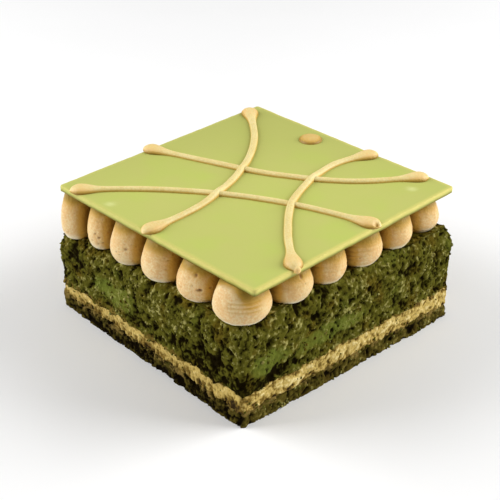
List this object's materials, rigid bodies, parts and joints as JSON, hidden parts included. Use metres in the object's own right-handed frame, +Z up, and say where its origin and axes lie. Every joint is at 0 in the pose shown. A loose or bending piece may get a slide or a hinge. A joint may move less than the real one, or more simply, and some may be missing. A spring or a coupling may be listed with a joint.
{
  "type": "matcha dacquoise cake",
  "caption": "Square single-serving layer cake: dark matcha sponge with a cream filling, a ring of piped cream dots and a flat green chocolate plaque with crossing piped lines",
  "frame": {"origin": "The middle of the underside of the cake's box, on the surface that the cake stands on.", "axes": "+Z is up. The sides of the cake run along X and Y. The sides that face -Y and +X meet at the front corner, where the largest piped dot stands."},
  "size_m": [0.0728, 0.073, 0.038],
  "materials": {
    "sponge": "dull, open dark green crumb",
    "filling": "smeared golden tan cream",
    "cream": "smooth soft tan cream",
    "chocolate": "satin light green"
  },
  "bodies": {
    "root": {"sponge_base": "sponge", "cream_filling": "filling", "sponge_top": "sponge", "cream_core": "cream", "cream_dot_01": "cream", "cream_dot_02": "cream", "cream_dot_03": "cream", "cream_dot_04": "cream", "cream_dot_05": "cream", "cream_dot_06": "cream", "cream_dot_07": "cream", "cream_dot_08": "cream", "cream_dot_09": "cream", "cream_dot_10": "cream", "cream_dot_11": "cream", "cream_dot_12": "cream", "cream_dot_13": "cream", "cream_dot_14": "cream", "cream_dot_15": "cream", "cream_dot_16": "cream", "cream_dot_17": "cream", "cream_dot_18": "cream", "cream_dot_19": "cream", "cream_dot_20": "cream", "matcha_plaque": "chocolate"}
  },
  "joints": []
}
